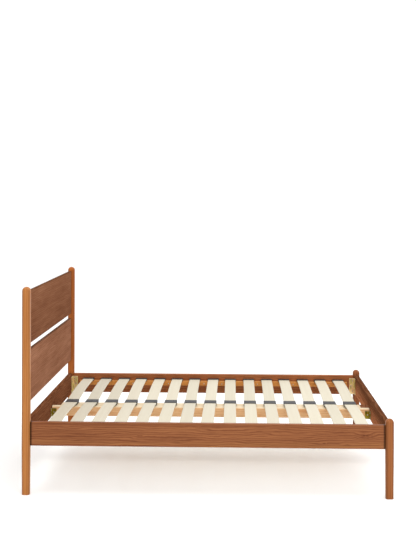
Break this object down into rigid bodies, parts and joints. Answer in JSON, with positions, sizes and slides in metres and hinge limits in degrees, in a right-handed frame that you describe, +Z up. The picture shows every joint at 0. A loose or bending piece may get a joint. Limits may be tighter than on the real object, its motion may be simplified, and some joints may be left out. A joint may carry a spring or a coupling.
{
  "type": "bed frame",
  "caption": "Double bed frame in stained wood: a two-plank headboard between tall posts, plain rails, short foot posts, and a slatted base of bowed slats in two halves over a centre beam.",
  "frame": {"origin": "on the floor, under the middle of the bed frame's bounding box", "axes": "+X from the headboard to the foot end, +Y towards the left of someone lying on their back with their head at the headboard, +Z up"},
  "size_m": [2, 1.45, 1.1208],
  "materials": {
    "stained_wood_posts": "walnut-coloured stain, satin lacquer, grain upright",
    "stained_wood_rails": "walnut-coloured stain, satin lacquer, grain along the rail",
    "stained_wood_end_rails": "walnut-coloured stain, satin lacquer, grain across the bed",
    "stained_wood_planks": "darker walnut-coloured stain, satin lacquer, grain across the bed",
    "ledger_wood": "light orange-brown stain, sawn and sanded",
    "beam_wood": "planed softwood, unfinished",
    "slat_wood": "pale layered birch, sanded",
    "dowel_wood": "plain beech, fluted",
    "black_plastic": "moulded, matte",
    "yellow_zinc_plate": "yellow passivated zinc",
    "zinc_screw": "zinc plated"
  },
  "bodies": {
    "root": {"head_post_right": "stained_wood_posts", "head_post_left": "stained_wood_posts", "foot_post_right": "stained_wood_posts", "foot_post_left": "stained_wood_posts", "side_rail_right": "stained_wood_rails", "side_rail_left": "stained_wood_rails", "head_rail": "stained_wood_end_rails", "foot_rail": "stained_wood_end_rails", "beam_rest_head": "stained_wood_end_rails", "beam_rest_foot": "stained_wood_end_rails", "headboard_plank_lower": "stained_wood_planks", "headboard_plank_upper": "stained_wood_planks", "slat_ledger_right": "ledger_wood", "slat_ledger_left": "ledger_wood", "centre_beam": "beam_wood", "slat_right_01": "slat_wood", "slat_right_02": "slat_wood", "slat_right_03": "slat_wood", "slat_right_04": "slat_wood", "slat_right_05": "slat_wood", "slat_right_06": "slat_wood", "slat_right_07": "slat_wood", "slat_right_08": "slat_wood", "slat_right_09": "slat_wood", "slat_right_10": "slat_wood", "slat_right_11": "slat_wood", "slat_right_12": "slat_wood", "slat_right_13": "slat_wood", "slat_right_14": "slat_wood", "slat_right_15": "slat_wood", "slat_left_01": "slat_wood", "slat_left_02": "slat_wood", "slat_left_03": "slat_wood", "slat_left_04": "slat_wood", "slat_left_05": "slat_wood", "slat_left_06": "slat_wood", "slat_left_07": "slat_wood", "slat_left_08": "slat_wood", "slat_left_09": "slat_wood", "slat_left_10": "slat_wood", "slat_left_11": "slat_wood", "slat_left_12": "slat_wood", "slat_left_13": "slat_wood", "slat_left_14": "slat_wood", "slat_left_15": "slat_wood", "rail_dowels": "dowel_wood", "slat_end_caps_right": "black_plastic", "slat_end_caps_left": "black_plastic", "slat_double_holders": "black_plastic", "corner_bracket_head_left": "yellow_zinc_plate", "corner_bracket_head_right": "yellow_zinc_plate", "corner_bracket_foot_left": "yellow_zinc_plate", "corner_bracket_foot_right": "yellow_zinc_plate", "beam_hanger_head": "yellow_zinc_plate", "beam_hanger_foot": "yellow_zinc_plate", "bracket_screws": "zinc_screw", "hanger_screws": "zinc_screw", "ledger_screws": "zinc_screw"}
  },
  "joints": []
}
